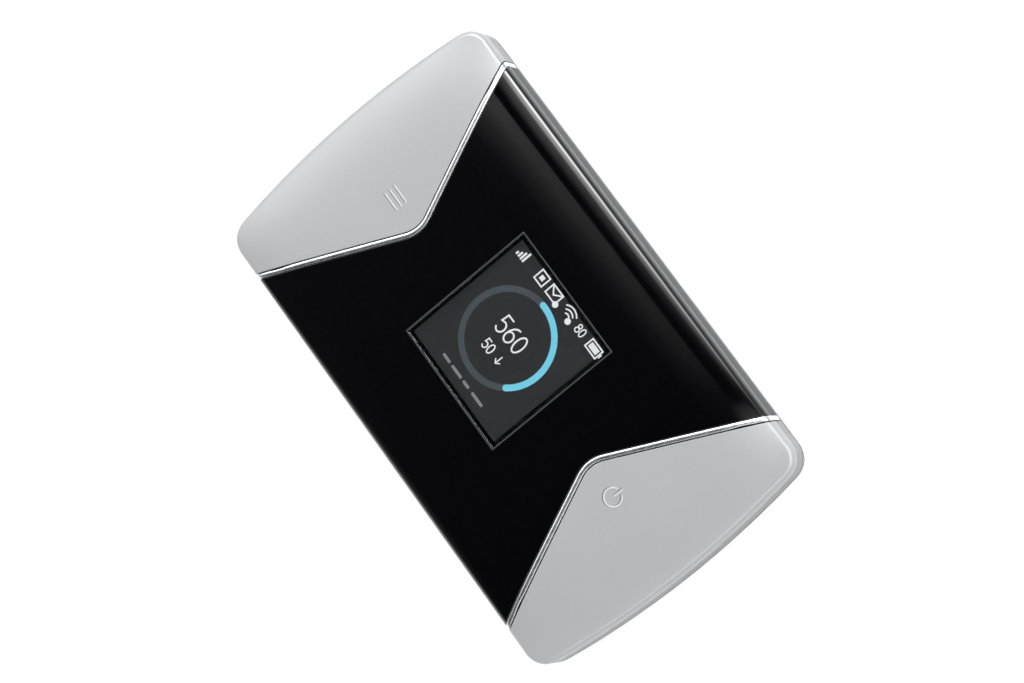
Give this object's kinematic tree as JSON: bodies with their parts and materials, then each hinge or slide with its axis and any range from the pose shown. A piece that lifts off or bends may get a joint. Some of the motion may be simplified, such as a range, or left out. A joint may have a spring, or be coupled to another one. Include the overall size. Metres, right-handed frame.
{
  "type": "mobile hotspot",
  "caption": "Pocket battery wireless router with a glossy centre panel, a small display and two rocking end keys; the back cover and battery come off.",
  "frame": {"origin": "centre of the outline on the flat back face of the rear cover, so the part rests on z = 0", "axes": "+X along the long side towards the power key, +Y up the display as it is read, +Z out of the front face"},
  "size_m": [0.1124, 0.0666, 0.016],
  "materials": {
    "front_panel": "deep gloss black",
    "display_lens": "clear, polished",
    "lcd_gasket": "matte black foam",
    "lcd_panel": "dark active display with a ring gauge",
    "backlight": "white light guide",
    "lcd_frame": "folded sheet",
    "lcd_flex": "amber flexible circuit",
    "menu_wing": "satin silver-grey paint",
    "power_wing": "satin silver-grey paint",
    "left_trim": "bright",
    "right_trim": "bright",
    "front_frame": "dark gunmetal satin",
    "main_board": "green solder mask",
    "modem_shield": "tinned sheet",
    "radio_shield": "tinned sheet",
    "power_shield": "tinned sheet",
    "processor_chip": "moulded chip",
    "memory_chip": "moulded chip",
    "usb_port": "formed sheet shell",
    "menu_switch": "moulded",
    "power_switch": "moulded",
    "menu_plunger": "off-white",
    "power_plunger": "off-white",
    "main_antenna": "thin plated sheet",
    "diversity_antenna": "thin plated sheet",
    "wifi_antenna_upper": "thin plated sheet",
    "wifi_antenna_lower": "thin plated sheet",
    "rear_chassis": "fine matte black",
    "sim_socket": "formed sheet",
    "memory_card_socket": "formed sheet",
    "battery_contacts": "plated blades in a block",
    "reset_switch": "moulded",
    "reset_button": "dark grey",
    "battery": "dark wrapped can",
    "battery_label": "blank label",
    "rear_cover": "satin silver-grey paint",
    "screw_1": "machined",
    "screw_2": "machined",
    "screw_3": "machined",
    "screw_4": "machined",
    "screw_5": "machined",
    "screw_6": "machined"
  },
  "bodies": {
    "housing": {"front_panel": "front_panel", "display_lens": "display_lens", "lcd_gasket": "lcd_gasket", "lcd_panel": "lcd_panel", "backlight": "backlight", "lcd_frame": "lcd_frame", "lcd_flex": "lcd_flex", "left_trim": "left_trim", "right_trim": "right_trim", "front_frame": "front_frame", "main_board": "main_board", "modem_shield": "modem_shield", "radio_shield": "radio_shield", "power_shield": "power_shield", "processor_chip": "processor_chip", "memory_chip": "memory_chip", "usb_port": "usb_port", "menu_switch": "menu_switch", "power_switch": "power_switch", "main_antenna": "main_antenna", "diversity_antenna": "diversity_antenna", "wifi_antenna_upper": "wifi_antenna_upper", "wifi_antenna_lower": "wifi_antenna_lower", "rear_chassis": "rear_chassis", "sim_socket": "sim_socket", "memory_card_socket": "memory_card_socket", "battery_contacts": "battery_contacts", "reset_switch": "reset_switch", "screw_1": "screw_1", "screw_2": "screw_2", "screw_3": "screw_3", "screw_4": "screw_4", "screw_5": "screw_5", "screw_6": "screw_6"},
    "menu_key": {"menu_wing": "menu_wing"},
    "power_key": {"power_wing": "power_wing"},
    "menu_contact": {"menu_plunger": "menu_plunger"},
    "power_contact": {"power_plunger": "power_plunger"},
    "reset_key": {"reset_button": "reset_button"},
    "back_cover": {"rear_cover": "rear_cover"},
    "battery_pack": {"battery": "battery", "battery_label": "battery_label"}
  },
  "joints": [
    {"name": "menu_press", "type": "hinge", "parent": "housing", "child": "menu_key", "pos_m": [-0.0536, 0, 0.0123], "axis": [0, 1, 0], "range_deg": [0, 1], "stiffness_Nm_per_rad": 3, "springref_deg": -0.23},
    {"name": "power_press", "type": "hinge", "parent": "housing", "child": "power_key", "pos_m": [0.0536, 0, 0.0123], "axis": [0, -1, 0], "range_deg": [0, 1], "stiffness_Nm_per_rad": 3, "springref_deg": -0.23},
    {"name": "menu_plunger_slide", "type": "slide", "parent": "housing", "child": "menu_contact", "axis": [0, 0, -1], "range_m": [0, 0.0003]},
    {"name": "power_plunger_slide", "type": "slide", "parent": "housing", "child": "power_contact", "axis": [0, 0, -1], "range_m": [0, 0.0003]},
    {"name": "reset_press", "type": "slide", "parent": "housing", "child": "reset_key", "axis": [0, 0, 1], "range_m": [0, 0.00025], "stiffness_N_per_m": 800, "springref_m": -0.0005},
    {"name": "cover_slide", "type": "slide", "parent": "housing", "child": "back_cover", "axis": [0, 0, -1], "range_m": [0, 0.03]},
    {"name": "battery_slide", "type": "slide", "parent": "housing", "child": "battery_pack", "axis": [0, 0, -1], "range_m": [0, 0.015]}
  ],
  "couplings": [
    {"joint": "menu_plunger_slide", "follows": "menu_press", "m_per_rad": 0.0171},
    {"joint": "power_plunger_slide", "follows": "power_press", "m_per_rad": 0.0171},
    {"joint": "battery_slide", "follows": "cover_slide", "ratio": 0.5}
  ]
}
